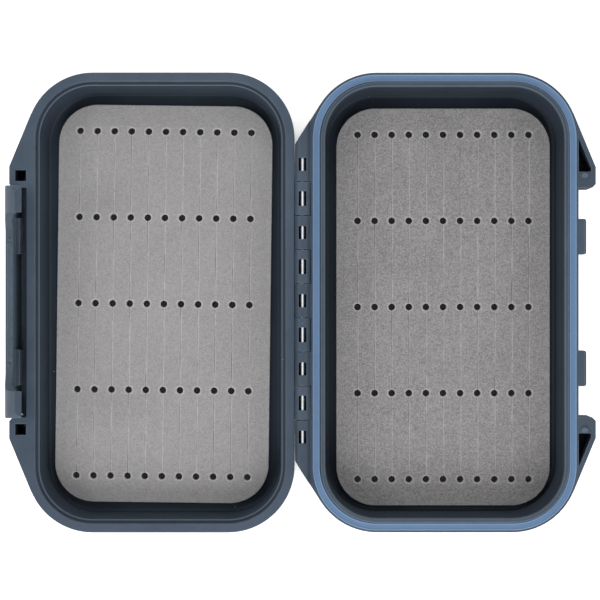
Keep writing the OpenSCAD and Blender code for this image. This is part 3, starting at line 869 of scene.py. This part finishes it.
def makePad(node, name, turn, seed, foam):
    host = padBorder(name + "Border")
    giveGroup(host, slitPad, {
        "Hole Cell": padCells[0], "End Cell": padCells[1], "Strip Cell": padCells[2],
        "Columns": pad["columns"], "Rows": pad["rows"],
        "Column Pitch": columnPitch, "Row Pitch": rowPitch,
        "Thickness": pad["thickness"], "Gape": pad["gape"],
        "Lip Depth": pad["lipDepth"], "Lip Width": pad["lipWidth"],
        "Wander": pad["wander"], "Swell": pad["swell"], "Seed": seed, "Foam": foam})
    made = settle(host, name)
    low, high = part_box(node)
    middle = Vector(((low.x + high.x) / 2, (low.y + high.y) / 2, low.z))
    made.data.transform(Matrix.Translation(middle) @ Matrix.Rotation(turn, 4, "Z"))
    return made


slitPad = padTree()
padCells = [holeCell("holeCell", True), holeCell("endCell", False), stripCell("stripCell")]
for body, turn, seed, foam in (
    ("base", 0.0, 3.0, shadedBaseFoam),
    ("lid", pad["lidTurn"], 11.0, lidFoam),
):
    made = makePad(body + "_pad", body + "_foam", turn, seed, foam)
    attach(made, body)
    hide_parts(body + "_pad")
for cell in padCells:
    bpy.data.objects.remove(cell)
print("foam pads ready")


sealLow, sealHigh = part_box("seal")
sealSize = dict(
    width=2.9 * mm,
    cornerRadius=25.19 * mm,    # of its outer side
    cornerSteps=40,
    step=1.5 * mm,
    lip=0.55 * mm,              # width of the soft lip along each edge
    lipTurns=(180, 150, 120, 90, 60, 30),
    valley=0.25 * mm,           # how far the middle lies below the lips
    flankShare=0.8,             # of the valley's depth, at the lip's foot
    valleyFoot=1.25,            # its floor starts this many lip widths in
    clear=0.02 * mm,            # from the groove's wall
    ripple=0.05 * mm,
    rippleFoot=0.6,             # share of the height above which the rubber ripples
    rippleWaves=(60.0, 2.0),    # per metre, detail
    seed=4.0,
)


def sealProfile(name):
    # across the rubber, from its outer foot: rounded lips with a shallow valley between them
    wide = sealSize["width"] - 2 * sealSize["clear"]
    tall = sealHigh.z - sealLow.z
    lip, valley = sealSize["lip"], sealSize["valley"]
    radius = lip / 2
    half = [(0.0, 0.0), (0.0, tall * 0.5)]
    for turn in sealSize["lipTurns"]:
        lean = math.radians(turn)
        half.append((radius + radius * math.cos(lean), tall - radius + radius * math.sin(lean)))
    # the inner flank of the lip meets the valley's floor softly
    half.append((lip, tall - valley * sealSize["flankShare"]))
    half.append((lip * sealSize["valleyFoot"], tall - valley))
    points = half + [(wide - x, z) for x, z in reversed(half)]
    mesh = bmesh.new()
    made = [mesh.verts.new((-x, -z, 0)) for x, z in points]
    for one, other in zip(made, made[1:] + made[:1]):
        mesh.edges.new((one, other))
    return toObject(mesh, name)


def sealTree():
    # carries the profile round the groove's outline, and lets the soft lips run unevenly
    tree, given = newGroup("sealRing", [
        ("Profile", "Object"), ("Width", "Float"), ("Length", "Float"), ("Corner Radius", "Float"),
        ("Corner Steps", "Int"), ("Step", "Float"), ("Height", "Float"), ("Ripple", "Float"),
        ("Seed", "Float"), ("Rubber", "Material"),
    ])
    outline = put(tree, "GeometryNodeCurvePrimitiveQuadrilateral", {
        "Width": given["Width"], "Height": given["Length"]})
    rounded = put(tree, "GeometryNodeFilletCurve", {
        "Curve": outline, "Count": given["Corner Steps"], "Radius": given["Corner Radius"]},
        mode="POLY")
    stepped = put(tree, "GeometryNodeResampleCurve", {
        "Curve": rounded, "Length": given["Step"]}, mode="LENGTH")
    upright = put(tree, "GeometryNodeSetCurveNormal", {"Curve": stepped}, mode="Z_UP")
    section = put(tree, "GeometryNodeObjectInfo", {"Object": given["Profile"]})
    profile = put(tree, "GeometryNodeMeshToCurve", {"Mesh": section.outputs["Geometry"]})
    swept = put(tree, "GeometryNodeCurveToMesh", {"Curve": upright, "Profile Curve": profile})
    spot = put(tree, "GeometryNodeInputPosition")
    height = put(tree, "ShaderNodeSeparateXYZ", {"Vector": spot}).outputs["Z"]
    heightShare = maths(tree, "DIVIDE", height, given["Height"])
    share = spread(tree, heightShare, sealSize["rippleFoot"], 1.0)
    waves = wavesOn(tree, spot, given["Seed"], *sealSize["rippleWaves"])
    lift = product(tree, waves, given["Ripple"], share, -1.0)
    offset = put(tree, "ShaderNodeCombineXYZ", {"Z": lift})
    moved = put(tree, "GeometryNodeSetPosition", {"Geometry": swept, "Offset": offset})
    real = put(tree, "GeometryNodeRealizeInstances", {"Geometry": moved})
    painted = put(tree, "GeometryNodeSetMaterial", {"Geometry": real, "Material": given["Rubber"]})
    put(tree, "NodeGroupOutput", {"Geometry": painted})
    return tree


def makeSeal():
    profile = sealProfile("sealProfile")
    host = toObject(bmesh.new(), "sealPath")
    clear = sealSize["clear"]
    giveGroup(host, sealTree(), {
        "Profile": profile,
        "Width": sealHigh.x - sealLow.x - 2 * clear,
        "Length": sealHigh.y - sealLow.y - 2 * clear,
        "Corner Radius": sealSize["cornerRadius"] - clear,
        "Corner Steps": sealSize["cornerSteps"], "Step": sealSize["step"],
        "Height": sealHigh.z - sealLow.z, "Ripple": sealSize["ripple"],
        "Seed": sealSize["seed"], "Rubber": sealRubber})
    made = settle(host, "seal_ring")
    bpy.data.objects.remove(profile)
    middle = (sealLow + sealHigh) / 2
    made.data.transform(Matrix.Translation((middle.x, middle.y, sealLow.z)))
    return made


sealRing = makeSeal()
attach(sealRing, "base")
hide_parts("seal")
print("seal ready")
